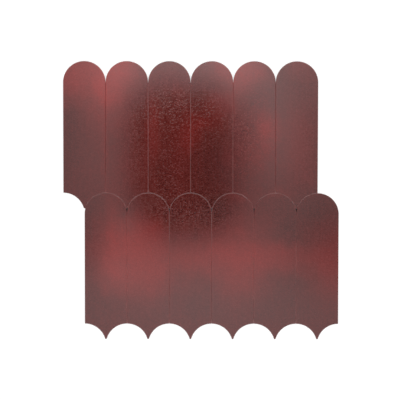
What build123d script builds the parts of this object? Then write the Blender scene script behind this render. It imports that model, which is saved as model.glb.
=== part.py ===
"""Self-adhesive mosaic sheet of long feather-shaped tiles, two staggered rows on one adhesive backing.

Every tile has a half-round crown, straight sides and a foot of two hollow quarter rounds that meet in a
blunt cusp. The hollows are struck from the crown centres of the row below, so that rows and neighbouring
sheets nest. The sheet lies face up on its release liner: +X runs along the rows, +Y towards the crowns and
+Z out of the face, with the origin below the middle of the sheet.
"""

import os
from math import sqrt

from build123d import *

os.makedirs("parts", exist_ok=True)

# Driving dimensions, in millimetres
columns = 6
tile_width = 45.85
course_height = 142.6  # from one row's crowns to the next row's
joint_gap = 0.15  # hairline joint between two tiles
tile_thickness = 3.0
edge_reach = 0.55  # eased edge round the face: how far it reaches into the face
edge_drop = 0.2  # and how far it falls to the side wall
cusp_land = 0.45  # radius of the flat that the eased edge leaves at a cusp's tip
adhesive_thickness = 0.9
liner_thickness = 0.1
backing_inset = 0.4  # how far the backing stays inside the tiles' outline

# Tile outline, measured from the centre of its crown
tile_pitch = tile_width + joint_gap
half_pitch = tile_pitch / 2
crown_radius = tile_width / 2
hollow_radius = crown_radius + joint_gap
cusp_radius = edge_reach + cusp_land
cusp_tip_y = -course_height + sqrt((hollow_radius + cusp_radius) ** 2 - half_pitch**2) - cusp_radius

# Sheet layout: the lower row is moved right by half a tile, and the whole sheet is centred on the origin
row_width = columns * tile_pitch - joint_gap
sheet_width = row_width + half_pitch
sheet_height = crown_radius + course_height - cusp_tip_y
upper_first_x = -sheet_width / 2 + crown_radius
upper_crown_y = sheet_height / 2 - crown_radius
lower_first_x = upper_first_x + half_pitch
lower_crown_y = upper_crown_y - course_height
rows = {"upper": (upper_first_x, upper_crown_y), "lower": (lower_first_x, lower_crown_y)}

# Heights of the layers
adhesive_bottom = liner_thickness
tile_bottom = adhesive_bottom + adhesive_thickness


def crown_centres(first_x, crown_y):
    """Centres of the crowns of one row."""
    return [(first_x + column * tile_pitch, crown_y) for column in range(columns)]


def hollow_centres(first_x, crown_y):
    """Centres of the hollows along one row's foot, which begin and end half a tile outside its crowns."""
    first_hollow_x = first_x - half_pitch
    hollow_y = crown_y - course_height
    return [(first_hollow_x + column * tile_pitch, hollow_y) for column in range(columns + 1)]


def feather_outline():
    """One tile's outline, with the centre of its crown at the sketch's origin."""
    with BuildSketch() as outline:
        Circle(crown_radius)
        with Locations((0, -course_height / 2)):
            Rectangle(tile_width, course_height)
        with Locations((-half_pitch, -course_height), (half_pitch, -course_height)):
            Circle(hollow_radius, mode=Mode.SUBTRACT)
        cusp = outline.vertices().sort_by(Axis.Y)[0]
        fillet(cusp, cusp_radius)
    return outline.sketch


def backing_outline():
    """The outline that adhesive and liner share: the tiles' silhouette, drawn in by the inset."""
    crown = crown_radius - backing_inset
    hollow = hollow_radius + backing_inset
    band_width = row_width - 2 * backing_inset
    band_height = -cusp_tip_y - backing_inset
    bridge_width = band_width - half_pitch
    with BuildSketch() as outline:
        for first_x, crown_y in rows.values():
            with Locations((first_x - crown + band_width / 2, crown_y - band_height / 2)):
                Rectangle(band_width, band_height)
            with Locations(hollow_centres(first_x, crown_y)):
                Circle(hollow, mode=Mode.SUBTRACT)
            with Locations(crown_centres(first_x, crown_y)):
                Circle(crown)
        # The rows share one sheet, so behind the tiles the joint between them is closed
        with Locations((0, lower_crown_y + hollow / 2)):
            Rectangle(bridge_width, hollow)
    return outline.sketch


feather = feather_outline()
for row, (first_x, crown_y) in rows.items():
    for number, (crown_x, _) in enumerate(crown_centres(first_x, crown_y), start=1):
        with BuildPart() as tile:
            with BuildSketch(Plane((crown_x, crown_y, tile_bottom))):
                add(feather)
            extrude(amount=tile_thickness)
            face = tile.faces().sort_by(Axis.Z)[-1]
            chamfer(face.edges(), edge_reach, edge_drop, reference=face)
        tile.part.label = f"{row}_tile_{number}"
        export_step(tile.part, f"parts/{tile.part.label}.step")

backing = backing_outline()
with BuildPart() as adhesive:
    with BuildSketch(Plane.XY.offset(adhesive_bottom)):
        add(backing)
    extrude(amount=adhesive_thickness)
adhesive.part.label = "adhesive_backing"
export_step(adhesive.part, "parts/adhesive_backing.step")

with BuildPart() as liner:
    with BuildSketch():
        add(backing)
    extrude(amount=liner_thickness)
liner.part.label = "release_liner"
export_step(liner.part, "parts/release_liner.step")
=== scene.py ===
"""A self-adhesive mosaic sheet of burgundy feather tiles, lying face up on a white floor.

The camera looks down through the opening of an overhead softbox, and that opening shows as a dark oval in the
tiles' satin coat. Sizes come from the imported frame. Lengths are in metres, and places in materials are in
millimetres.
"""

import math
import random

import bmesh
import bpy
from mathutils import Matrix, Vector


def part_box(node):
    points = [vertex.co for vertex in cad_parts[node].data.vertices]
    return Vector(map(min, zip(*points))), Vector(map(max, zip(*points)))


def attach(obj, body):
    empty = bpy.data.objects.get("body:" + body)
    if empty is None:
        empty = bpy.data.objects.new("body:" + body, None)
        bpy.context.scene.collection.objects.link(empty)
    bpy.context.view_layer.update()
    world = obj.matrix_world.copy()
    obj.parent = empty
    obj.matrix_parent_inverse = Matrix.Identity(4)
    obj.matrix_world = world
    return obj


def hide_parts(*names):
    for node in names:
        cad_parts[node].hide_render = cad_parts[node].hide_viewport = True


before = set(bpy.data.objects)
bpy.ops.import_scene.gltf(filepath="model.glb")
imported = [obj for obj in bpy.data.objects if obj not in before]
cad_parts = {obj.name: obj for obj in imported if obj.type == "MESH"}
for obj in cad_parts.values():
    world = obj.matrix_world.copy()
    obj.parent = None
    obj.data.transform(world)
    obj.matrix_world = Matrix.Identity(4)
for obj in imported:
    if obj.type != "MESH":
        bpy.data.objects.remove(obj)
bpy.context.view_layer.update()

# Measures read from the frame
first_low, first_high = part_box("upper_tile_1")
next_low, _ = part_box("upper_tile_2")
_, below_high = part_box("lower_tile_1")
tile_width = first_high.x - first_low.x
tile_pitch = next_low.x - first_low.x
course_height = first_high.y - below_high.y
tile_thickness = first_high.z - first_low.z
joint_gap = tile_pitch - tile_width
half_pitch = tile_pitch / 2
crown_radius = tile_width / 2
hollow_radius = crown_radius + joint_gap

# Measures of the finish
EDGE_REACH = 0.00055  # how far the rolled edge reaches into the face
EDGE_DROP = 0.0002  # how far it falls to the side wall
FOOT_EASE = 0.00015  # tiny bevel along the back of a tile
FACE_RIM = 0.0001  # flat ring inside the roll, which keeps the face's normals upright
CUSP_RADIUS = 0.001
ROLL_POWER = 3.0  # 2 would be a quarter ellipse, and more keeps the roll flatter beside the face
ROLL_STEPS = 8
CROWN_STEPS = 64  # over a whole half round, a multiple of two
SIDE_STEPS = 24
HOLLOW_STEPS = 28
CUSP_STEPS = 8  # over the whole tip, a multiple of two
SHARP_ANGLE = math.radians(40)

# Camera, fitted to the photo's outline
CAMERA_DISTANCE = 1.5
CAMERA_TILT = math.radians(2.6)  # the crowns' end is a little nearer
CAMERA_ROLL = math.radians(0.08)
CAMERA_AIM = (-0.0013, 0.0007, 0.0)
FRAME_WIDTH = 0.4352  # what the picture shows at the sheet
SENSOR = 36.0

WORLD_LIGHT = 0.3
MM_PER_METRE = 1000.0


def add_node(tree, kind, inputs=None, **settings):
    """A shader node with its settings, and with its inputs set to values or linked to outputs."""
    made = tree.nodes.new(kind)
    for name, value in settings.items():
        setattr(made, name, value)
    for key, value in (inputs or {}).items():
        if isinstance(value, bpy.types.NodeSocket):
            tree.links.new(value, made.inputs[key])
        else:
            made.inputs[key].default_value = value
    return made


def calculate(tree, operation, *values):
    """The output of one math node."""
    return add_node(tree, "ShaderNodeMath", dict(enumerate(values)), operation=operation).outputs[0]


def combine(tree, operation, *values):
    """The output of one vector math node."""
    return add_node(tree, "ShaderNodeVectorMath", dict(enumerate(values)), operation=operation).outputs[0]


def scale_vector(tree, vector, factor):
    """A vector times one number."""
    inputs = {0: vector, "Scale": factor}
    return add_node(tree, "ShaderNodeVectorMath", inputs, operation="SCALE").outputs[0]


def fade(tree, value, start, end, low=0.0, high=1.0):
    """A smooth step from low to high, while the value goes from start to end."""
    inputs = {"Value": value, "From Min": start, "From Max": end, "To Min": low, "To Max": high}
    return add_node(tree, "ShaderNodeMapRange", inputs, interpolation_type="SMOOTHSTEP").outputs[0]


def noise(tree, place, scale, detail):
    """The outputs of a soft noise round 0.5."""
    return add_node(tree, "ShaderNodeTexNoise", {"Vector": place, "Scale": scale, "Detail": detail}).outputs


def bump(tree, height, strength, distance):
    """The normal of a relief, in which a height of 1 stands for the distance."""
    inputs = {"Height": height, "Strength": strength, "Distance": distance}
    return add_node(tree, "ShaderNodeBump", inputs).outputs[0]


def join_channels(tree, red, green, blue):
    """The colour that three values make."""
    inputs = {"Red": red, "Green": green, "Blue": blue}
    return add_node(tree, "ShaderNodeCombineColor", inputs).outputs[0]


def soft_patch(tree, place, centre, half_size):
    """A soft ellipse: 1 in its middle, and 0 from its outline on. Height above it hardly counts."""
    inputs = {"Vector": place, "Location": (*centre, 0.0), "Scale": (*half_size, MM_PER_METRE)}
    inside = add_node(tree, "ShaderNodeMapping", inputs, vector_type="TEXTURE").outputs[0]
    cone = add_node(tree, "ShaderNodeTexGradient", {"Vector": inside}, gradient_type="SPHERICAL")
    return fade(tree, cone.outputs["Fac"], 0.0, 1.0)


def sum_of_patches(tree, place, start, patches):
    """A value that starts the same all over and is raised or lowered by soft ellipses."""
    total = start
    for centre, half_size, height in patches:
        patch = soft_patch(tree, place, centre, half_size)
        total = calculate(tree, "MULTIPLY_ADD", patch, height, total)
    return total


def new_material(name):
    """An empty node material with its output, as (material, tree, output)."""
    material = bpy.data.materials.new(name)
    material.use_nodes = True
    tree = material.node_tree
    tree.nodes.clear()
    return material, tree, tree.nodes.new("ShaderNodeOutputMaterial")


def cover(tree, output, kind, inputs):
    """Adds a shader and makes it the material's surface."""
    shader = add_node(tree, kind, inputs)
    tree.links.new(shader.outputs[0], output.inputs["Surface"])


def place_in_mm(tree):
    """The place on the object, in millimetres from its origin."""
    place = add_node(tree, "ShaderNodeTexCoord").outputs["Object"]
    return scale_vector(tree, place, MM_PER_METRE)


# Red clouds in the lacquer: centre and half size in millimetres, and how much redder the middle is
RED_CLOUDS = (
    # upper left, over the first two crowns
    ((-132, 146), (80, 62), 0.106),
    ((-88, 150), (42, 60), 0.106),
    ((-106, 108), (30, 50), 0.039),
    ((-86, 100), (24, 40), 0.022),
    ((-105, 120), (13, 34), 0.032),
    ((-104, 66), (8, 60), 0.022),
    ((-84, 36), (22, 40), 0.012),
    # the rest of the upper row, and its foot
    ((-40, 146), (60, 36), 0.02),
    ((16, 148), (40, 40), 0.039),
    ((42, 148), (44, 50), 0.112),
    ((64, 142), (24, 26), 0.02),
    ((18, 90), (46, 36), 0.026),
    ((60, 100), (24, 28), 0.018),
    ((2, 78), (16, 16), 0.022),
    ((71, 78), (18, 30), 0.075),
    ((62, 62), (34, 50), 0.022),
    ((88, 80), (36, 30), 0.012),
    ((108, 146), (36, 26), 0.036),
    ((105, 56), (28, 76), 0.029),
    ((-12, 76), (18, 36), 0.034),
    ((-51, 86), (11, 58), 0.034),
    ((-23, 119), (15, 15), 0.02),
    ((42, 2), (22, 14), 0.02),
    ((84, 3), (30, 13), 0.022),
    ((33, 108), (13, 22), 0.025),
    ((29, 48), (11, 28), 0.02),
    ((22, 104), (24, 17), 0.024),
    ((62, 48), (19, 24), 0.018),
    ((44, 66), (15, 50), 0.008),
    # lower row
    ((45, -37), (13, 11), 0.02),
    ((-96, -54), (44, 62), 0.062),
    ((-62, -62), (66, 64), 0.073),
    ((-56, -84), (70, 44), 0.05),
    ((-64, -42), (44, 34), 0.036),
    ((-97, -84), (20, 40), 0.032),
    ((-99, -48), (10, 24), 0.028),
    ((-66, -108), (40, 26), 0.014),
    ((-10, -63), (34, 24), 0.054),
    ((18, -62), (46, 36), 0.05),
    ((44, -70), (56, 72), 0.063),
    ((38, -94), (34, 30), 0.028),
    ((80, -65), (80, 27), 0.058),
    ((142, -82), (40, 50), 0.045),
    ((140, -50), (40, 40), 0.017),
    ((-96, -6), (14, 50), 0.022),
    # darker parts
    ((-7, 94), (14, 16), -0.02),
    ((-38, 36), (14, 50), -0.01),
    ((42, -59), (18, 10), -0.014),
    ((-148, 56), (34, 100), -0.026),
    ((-142, 104), (20, 22), -0.02),
    ((-76, 118), (16, 22), -0.016),
    ((54, 117), (18, 18), -0.014),
    ((14, 46), (44, 76), -0.022),
    ((20, -16), (28, 26), -0.018),
    ((0, 8), (180, 50), -0.01),
    ((-4, -9), (60, 26), -0.009),
    ((122, -11), (60, 40), -0.027),
    ((93, -39), (25, 22), -0.024),
    ((-36, -35), (18, 34), -0.032),
    ((-87, -70), (14, 14), -0.018),
    ((-82, -14), (12, 16), -0.014),
    ((-4, -121), (24, 20), -0.012),
    ((-29, -88), (16, 40), -0.026),
    ((110, -84), (22, 20), -0.014),
    ((100, -116), (120, 50), -0.013),
    ((-124, -20), (24, 60), -0.016),
    ((-130, -120), (40, 50), -0.012),
)
BASE_RED = 0.103
GREEN_OF_RED = (0.02, 0.005)  # share of the red, and what is added to it
BLUE_OF_RED = (0.015, 0.004)
WARP_SCALE = 0.05  # noise that makes the clouds' outlines ragged
WARP_REACH = (16.0, 24.0, 0.0)
TILE_SHIFT = (2.0, 5.0, 0.0)  # how far the clouds move on a tile whose tone is 1
TILE_TONE = 0.04  # and how much redder it is
STREAK_STRETCH = (0.5, 0.02, 1.0)
STREAK_STRENGTH = 0.03

# Strength of the coat's grains: centre and half size in millimetres, and how much it changes there
COARSE_SKIN = (
    ((-36, 104), (40, 34), 0.6),
    ((-12, 60), (75, 120), 0.3),
    ((-72, 60), (16, 80), 0.3),
    ((56, 74), (32, 80), 1.2),
    ((-10, -12), (70, 30), 0.6),
    ((-36, 16), (26, 30), 0.4),
    ((-36, 44), (26, 44), 0.3),
    ((14, 60), (22, 90), -0.05),
)
PLAIN_SKIN = 0.6  # and its strength elsewhere
GRAIN_SCALE = 0.64  # grains per millimetre
GRAIN_RADIUS = 0.5  # as a share of their spacing
GRAIN_HEIGHT = 0.0000255
# Painted glints on the grains: a pale tint on the higher grains and a dark one on the others
GRAIN_GLINT_TINT = (0.155, 0.032, 0.032)
GRAIN_POWER = 1.5  # more makes pale grains rarer than dark ones
GRAIN_MEAN = 1 / (GRAIN_POWER + 1)  # of a random number from 0 to 1, to that power
MOTTLE_SCALE = 0.9
MOTTLE_TONES = (0.88, 1.12)
MOTTLE_RANGE = (0.2, 0.8)  # where most of the noise lies
COAT_ROUGHNESS = (0.055, 0.085)
COAT_IOR = 1.6
WEAR_AND_SHEEN_SCALE = 0.12
WEAR_AND_SHEEN_RANGE = (0.3, 0.7)
WEAR_AND_SHEEN_STRENGTH = (0.7, 1.3)
# Painted sheen: a pale tint along the rolled edges
EDGE_SHEEN_TINT = (0.078, 0.026, 0.024)
WEAR_ROUGHNESS = 0.08


def lacquer():
    """Burgundy lacquer, clouded with red, under a satin coat with a fine pebbled skin."""
    material, tree, output = new_material("burgundy_lacquer")
    place = place_in_mm(tree)
    tone = add_node(tree, "ShaderNodeAttribute", attribute_name="tile_tone").outputs["Fac"]

    # Clouds with ragged outlines, which don't quite meet from tile to tile
    warp = combine(tree, "SUBTRACT", noise(tree, place, WARP_SCALE, 3.0)["Color"], (0.5, 0.5, 0.5))
    warp = combine(tree, "MULTIPLY", warp, WARP_REACH)
    shift = scale_vector(tree, TILE_SHIFT, tone)
    drifted = combine(tree, "ADD", combine(tree, "ADD", place, warp), shift)
    red = sum_of_patches(tree, drifted, BASE_RED, RED_CLOUDS)
    red = calculate(tree, "MULTIPLY", red, calculate(tree, "MULTIPLY_ADD", tone, TILE_TONE, 1.0))
    stretched = combine(tree, "MULTIPLY", place, STREAK_STRETCH)
    streaks = calculate(tree, "SUBTRACT", noise(tree, stretched, 1.0, 3.0)["Fac"], 0.5)
    red = calculate(tree, "MULTIPLY_ADD", streaks, STREAK_STRENGTH, red)
    green = calculate(tree, "MULTIPLY_ADD", red, *GREEN_OF_RED)
    blue = calculate(tree, "MULTIPLY_ADD", red, *BLUE_OF_RED)
    mottle = noise(tree, place, MOTTLE_SCALE, 1.0)["Fac"]
    mottling = fade(tree, mottle, *MOTTLE_RANGE, *MOTTLE_TONES)
    colour = combine(tree, "MULTIPLY", join_channels(tree, red, green, blue), mottling)

    # Pebbled skin of the coat: small round grains in the bump, with painted glints in the colour: the higher
    # grains are painted pale and the others dark
    inputs = {"Vector": place, "Scale": GRAIN_SCALE}
    cells = add_node(tree, "ShaderNodeTexVoronoi", inputs, voronoi_dimensions="2D").outputs
    chance = add_node(tree, "ShaderNodeSeparateColor", {0: cells["Color"]}).outputs[0]
    strength = sum_of_patches(tree, place, PLAIN_SKIN, COARSE_SKIN)
    spots = calculate(tree, "MULTIPLY", fade(tree, cells["Distance"], GRAIN_RADIUS, 0.0), strength)
    grains = calculate(tree, "MULTIPLY", spots, fade(tree, chance, 0.0, 1.0))
    skin = bump(tree, grains, 1.0, GRAIN_HEIGHT)
    painted_glints = calculate(tree, "SUBTRACT", calculate(tree, "POWER", chance, GRAIN_POWER), GRAIN_MEAN)
    painted_glints = calculate(tree, "MULTIPLY", spots, painted_glints)
    colour = combine(tree, "MULTIPLY_ADD", painted_glints, GRAIN_GLINT_TINT, colour)

    # Rubbed edges, rougher where worn, with a painted pale sheen along the rolled edge
    wear_and_sheen = add_node(tree, "ShaderNodeAttribute", attribute_name="edge_wear_and_sheen").outputs["Fac"]
    patchy = noise(tree, place, WEAR_AND_SHEEN_SCALE, 2.0)["Fac"]
    wear_and_sheen = calculate(tree, "MULTIPLY", wear_and_sheen, fade(tree, patchy, *WEAR_AND_SHEEN_RANGE, *WEAR_AND_SHEEN_STRENGTH))
    # The pale tint is a painted sheen along the rolled edges
    colour = combine(tree, "MULTIPLY_ADD", wear_and_sheen, EDGE_SHEEN_TINT, colour)

    rough = fade(tree, mottle, *MOTTLE_RANGE, *COAT_ROUGHNESS)
    rough = calculate(tree, "MULTIPLY_ADD", wear_and_sheen, WEAR_ROUGHNESS, rough)
    inputs = {"Base Color": colour, "Roughness": rough, "IOR": COAT_IOR, "Normal": skin}
    cover(tree, output, "ShaderNodeBsdfPrincipled", inputs)
    return material


FOAM_CELLS = 4.0  # per millimetre
FOAM_TONES = (0.012, 0.03)
FOAM_DEPTH = 0.0001
FOAM_ROUGHNESS = 0.9


def foam():
    """Dark closed-cell foam of the adhesive sheet."""
    material, tree, output = new_material("adhesive_foam")
    inputs = {"Vector": place_in_mm(tree), "Scale": FOAM_CELLS}
    cells = add_node(tree, "ShaderNodeTexVoronoi", inputs).outputs["Distance"]
    tone = fade(tree, cells, 0.0, 0.8, *FOAM_TONES)
    colour = join_channels(tree, tone, tone, tone)
    skin = bump(tree, cells, 0.6, FOAM_DEPTH)
    inputs = {"Base Color": colour, "Roughness": FOAM_ROUGHNESS, "Normal": skin}
    cover(tree, output, "ShaderNodeBsdfPrincipled", inputs)
    return material


PAPER_FIBRES = 0.6  # scale of the noise
PAPER_DARK = (0.66, 0.62, 0.52, 1.0)
PAPER_PALE = (0.82, 0.80, 0.72, 1.0)
PAPER_DEPTH = 0.00005
PAPER_ROUGHNESS = 0.42


def paper():
    """Siliconised release paper: pale, smooth and faintly fibrous."""
    material, tree, output = new_material("liner_paper")
    fibres = noise(tree, place_in_mm(tree), PAPER_FIBRES, 6.0)["Fac"]
    inputs = {"Fac": fibres, "Color1": PAPER_DARK, "Color2": PAPER_PALE}
    colour = add_node(tree, "ShaderNodeMixRGB", inputs).outputs[0]
    skin = bump(tree, fibres, 0.3, PAPER_DEPTH)
    inputs = {"Base Color": colour, "Roughness": PAPER_ROUGHNESS, "Normal": skin}
    cover(tree, output, "ShaderNodeBsdfPrincipled", inputs)
    return material


def arc(centre, radius, start, end, steps):
    """Points on an arc from start to end, in radians, without the last."""
    angles = [start + (end - start) * i / steps for i in range(steps)]
    return [(centre[0] + radius * math.cos(a), centre[1] + radius * math.sin(a)) for a in angles]


def half_outline(inset):
    """The left half of a tile's outline, from its crown's top to its cusp's tip, drawn in by the inset."""
    radius = crown_radius - inset
    hollow = hollow_radius + inset
    corner_x = half_pitch - radius
    corner_y = math.sqrt(hollow**2 - corner_x**2)
    cusp_rise = math.sqrt((hollow_radius + CUSP_RADIUS) ** 2 - half_pitch**2)
    towards_cusp = math.atan2(cusp_rise, half_pitch)
    hollow_centre = (-half_pitch, -course_height)
    cusp_centre = (0.0, cusp_rise - course_height)
    side = [(-radius, (corner_y - course_height) * i / SIDE_STEPS) for i in range(SIDE_STEPS)]
    return [
        *arc((0.0, 0.0), radius, math.pi / 2, math.pi, CROWN_STEPS // 2),
        *side,
        *arc(hollow_centre, hollow, math.atan2(corner_y, corner_x), towards_cusp, HOLLOW_STEPS),
        *arc(cusp_centre, CUSP_RADIUS - inset, math.pi + towards_cusp, 1.5 * math.pi, CUSP_STEPS // 2),
        (0.0, cusp_centre[1] - CUSP_RADIUS + inset),
    ]


def ring(inset, height):
    """A tile's whole outline, drawn in by the inset, at a height above the tile's back."""
    left = half_outline(inset)
    right = [(-x, y) for x, y in reversed(left[1:-1])]
    return [(x, y, height) for x, y in left + right]


def tile_rings():
    """The rings of a tile from the rim of its back to the rim of its face, each with the wear and painted
    sheen of its edge.
    """
    rings = [(ring(FOOT_EASE, 0.0), 0.0), (ring(0.0, FOOT_EASE), 0.0)]
    for i in range(ROLL_STEPS + 1):
        turn = math.pi / 2 * i / ROLL_STEPS
        inset = EDGE_REACH * (1 - math.cos(turn) ** (2 / ROLL_POWER))
        drop = EDGE_DROP * (1 - math.sin(turn) ** (2 / ROLL_POWER))
        rings.append((ring(inset, tile_thickness - drop), math.sqrt(1 - inset / EDGE_REACH)))
    rings.append((ring(EDGE_REACH + FACE_RIM, tile_thickness), 0.0))
    return rings


def set_attribute(mesh, name, values):
    """Gives each point of a mesh a number that its material reads."""
    mesh.attributes.new(name, "FLOAT", "POINT").data.foreach_set("value", values)


def feather_tile(node, material, tone):
    """One tile with a rolled edge and a tone of its own, in the place of its CAD node."""
    low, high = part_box(node)
    crown = ((low.x + high.x) / 2, high.y - crown_radius, low.z)
    rings = tile_rings()
    count = len(rings[0][0])
    form = bmesh.new()
    rows = []
    for points, _ in rings:
        rows.append([form.verts.new([p + c for p, c in zip(point, crown)]) for point in points])
    for lower, upper in zip(rows, rows[1:]):
        for i in range(count):
            j = (i + 1) % count
            form.faces.new((lower[j], lower[i], upper[i], upper[j]))
    for rim, facing in ((rows[0], -1), (rows[-1], 1)):
        # Rungs from the left half to the right one
        for i in range(count // 2):
            rung = [rim[i], rim[i + 1], rim[-i - 1], rim[-i]]
            corners = list(dict.fromkeys(rung))
            form.faces.new(corners[::facing])
    mesh = bpy.data.meshes.new(f"{node}_skin")
    form.to_mesh(mesh)
    form.free()
    mesh.shade_smooth()
    mesh.set_sharp_from_angle(angle=SHARP_ANGLE)
    mesh.materials.append(material)
    set_attribute(mesh, "tile_tone", [tone] * len(mesh.vertices))
    # Each point's share of the edge's wear and painted sheen, strongest at the side wall
    set_attribute(mesh, "edge_wear_and_sheen", [wear_and_sheen for points, wear_and_sheen in rings for _ in points])
    tile = bpy.data.objects.new(f"{node}_skin", mesh)
    bpy.context.scene.collection.objects.link(tile)
    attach(tile, "root")
    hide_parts(node)


def plane(name, half_size, height):
    """A level square round the origin, which belongs to the stage."""
    corners = [(x * half_size, y * half_size, 0) for x, y in ((-1, -1), (1, -1), (1, 1), (-1, 1))]
    mesh = bpy.data.meshes.new(name)
    mesh.from_pydata(corners, [], [(0, 1, 2, 3)])
    made = bpy.data.objects.new(name, mesh)
    made.location.z = height
    bpy.context.scene.collection.objects.link(made)
    return made


FLOOR_TONE = 0.33
FLOOR_UNEVENNESS = 0.005
FLOOR_SCALE = 0.02  # of the noise
FLOOR_GLOW = 0.78  # lit from below, so that the sheet hardly throws a shadow
FLOOR_HALF = 8.0
FLOOR_HEIGHT = -0.0001  # just below the liner


def floor():
    """A plain white light table."""
    material, tree, output = new_material("floor_white")
    clouds = noise(tree, place_in_mm(tree), FLOOR_SCALE, 3.0)["Fac"]
    tone = fade(tree, clouds, 0.0, 1.0, FLOOR_TONE - FLOOR_UNEVENNESS, FLOOR_TONE + FLOOR_UNEVENNESS)
    colour = join_channels(tree, tone, tone, tone)
    matt = add_node(tree, "ShaderNodeBsdfDiffuse", {"Color": colour}).outputs[0]
    glow = add_node(tree, "ShaderNodeEmission", {"Strength": FLOOR_GLOW}).outputs[0]
    cover(tree, output, "ShaderNodeAddShader", {0: matt, 1: glow})
    made = plane("floor", FLOOR_HALF, FLOOR_HEIGHT)
    made.data.materials.append(material)


# Softbox: centre and half size of its brighter and dimmer parts in millimetres, and how much they add
SOFTBOX_LIGHTS = (
    ((0, 290), (480, 260), 1.77),
    ((-175, 215), (80, 80), 0.28),
    ((85, 205), (80, 90), 0.28),
    ((-70, 215), (90, 60), -0.25),
    ((215, 205), (70, 60), -0.16),
    ((162, 70), (88, 160), 0.58),
    ((95, 85), (45, 130), -0.36),
    ((200, -80), (90, 50), 0.12),
    ((-150, -110), (50, 60), 0.45),
    ((-215, 60), (110, 240), 0.25),
    ((-20, -300), (620, 250), 0.6),
    ((300, -175), (170, 140), -0.4),
    ((-243, -160), (64, 96), -0.24),
    ((-185, -228), (72, 70), 0.24),
    ((-248, -205), (40, 60), -0.12),
)
SOFTBOX_BASE = 0.84
SOFTBOX_HALF = 0.8
STRIP_START = (400.0, 520.0)  # from the softbox's middle to where its outer strips are dim and full
STRIP_SHIFT = (0.0, 40.0, 0.0)
END_STRIPS = 4.2  # how much brighter the strips beyond the crowns and the cusps are
SIDE_STRIPS = (2.1, 0.5)  # and those beside the lower and the upper row
SIDE_CHANGE = (-200.0, 60.0)
OPENING_CENTRE = (-39.0, 18.0)
OPENING_HALF = (116.0, 161.0)
OPENING_LEAN = math.radians(2.0)
OPENING_POWER = 4.0  # 2 would be an ellipse, and more is nearer to a rectangle
OPENING_RIM = (0.7, 1.3)  # where the soft rim begins and ends, as a share of the half size
OPENING_BASE = 0.165
# What little light comes through the opening: centre, half size and how much it adds
OPENING_LIGHTS = (
    ((-98, 59), (25, 110), 0.12),
    ((57, 20), (26, 100), 0.14),
    ((-128, -95), (30, 60), 0.13),
)


def softbox():
    """An overhead softbox at the camera's height, with the dark opening that the camera looks through."""
    material, tree, output = new_material("softbox_light")
    place = place_in_mm(tree)
    light = sum_of_patches(tree, place, SOFTBOX_BASE, SOFTBOX_LIGHTS)

    # Brighter strips along the four sides, which only the tiles' rolled edges mirror
    moved = combine(tree, "ADD", place, STRIP_SHIFT)
    across, along, _ = add_node(tree, "ShaderNodeSeparateXYZ", {0: moved}).outputs
    ends = fade(tree, calculate(tree, "ABSOLUTE", along), *STRIP_START, 0.0, END_STRIPS)
    sides = fade(tree, calculate(tree, "ABSOLUTE", across), *STRIP_START)
    light = calculate(tree, "ADD", light, ends)
    light = calculate(tree, "MULTIPLY_ADD", sides, fade(tree, along, *SIDE_CHANGE, *SIDE_STRIPS), light)

    # Dark opening, a rounded rectangle with a soft rim
    inputs = {
        "Vector": place,
        "Location": (*OPENING_CENTRE, 0.0),
        "Rotation": (0.0, 0.0, OPENING_LEAN),
        "Scale": (*OPENING_HALF, 1.0),
    }
    beside = add_node(tree, "ShaderNodeMapping", inputs, vector_type="TEXTURE").outputs[0]
    shares = add_node(tree, "ShaderNodeSeparateXYZ", {0: combine(tree, "ABSOLUTE", beside)}).outputs
    powers = [calculate(tree, "POWER", share, OPENING_POWER) for share in shares[:2]]
    distance = calculate(tree, "POWER", calculate(tree, "ADD", *powers), 1 / OPENING_POWER)
    outside = fade(tree, distance, *OPENING_RIM)
    inside = sum_of_patches(tree, place, OPENING_BASE, OPENING_LIGHTS)
    light = add_node(tree, "ShaderNodeMix", {"Factor": outside, "A": inside, "B": light}).outputs[0]
    cover(tree, output, "ShaderNodeEmission", {"Strength": light})
    made = plane("softbox", SOFTBOX_HALF, CAMERA_DISTANCE)
    made.data.materials.append(material)
    made.visible_camera = False


def surroundings():
    """Even white light from all round."""
    world = bpy.data.worlds.new("studio")
    world.use_nodes = True
    background = world.node_tree.nodes["Background"]
    background.inputs["Color"].default_value = (1.0, 1.0, 1.0, 1.0)
    background.inputs["Strength"].default_value = WORLD_LIGHT
    bpy.context.scene.world = world
    bpy.context.scene.view_settings.view_transform = "Standard"


def camera():
    """The photo's camera, looking almost straight down."""
    data = bpy.data.cameras.new("camera")
    data.sensor_width = SENSOR
    data.lens = SENSOR * CAMERA_DISTANCE / FRAME_WIDTH
    made = bpy.data.objects.new("camera", data)
    made.location = (
        CAMERA_AIM[0],
        CAMERA_AIM[1] + CAMERA_DISTANCE * math.sin(CAMERA_TILT),
        CAMERA_DISTANCE * math.cos(CAMERA_TILT),
    )
    made.rotation_euler = (-CAMERA_TILT, 0.0, CAMERA_ROLL)
    bpy.context.scene.collection.objects.link(made)
    bpy.context.scene.camera = made


tile_lacquer = lacquer()
tones = random.Random(4)
for node in sorted(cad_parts):
    if "_tile_" in node:
        feather_tile(node, tile_lacquer, tones.uniform(-1.0, 1.0))
for node, material in (("adhesive_backing", foam()), ("release_liner", paper())):
    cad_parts[node].data.materials.clear()
    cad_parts[node].data.materials.append(material)

surroundings()
floor()
softbox()
camera()
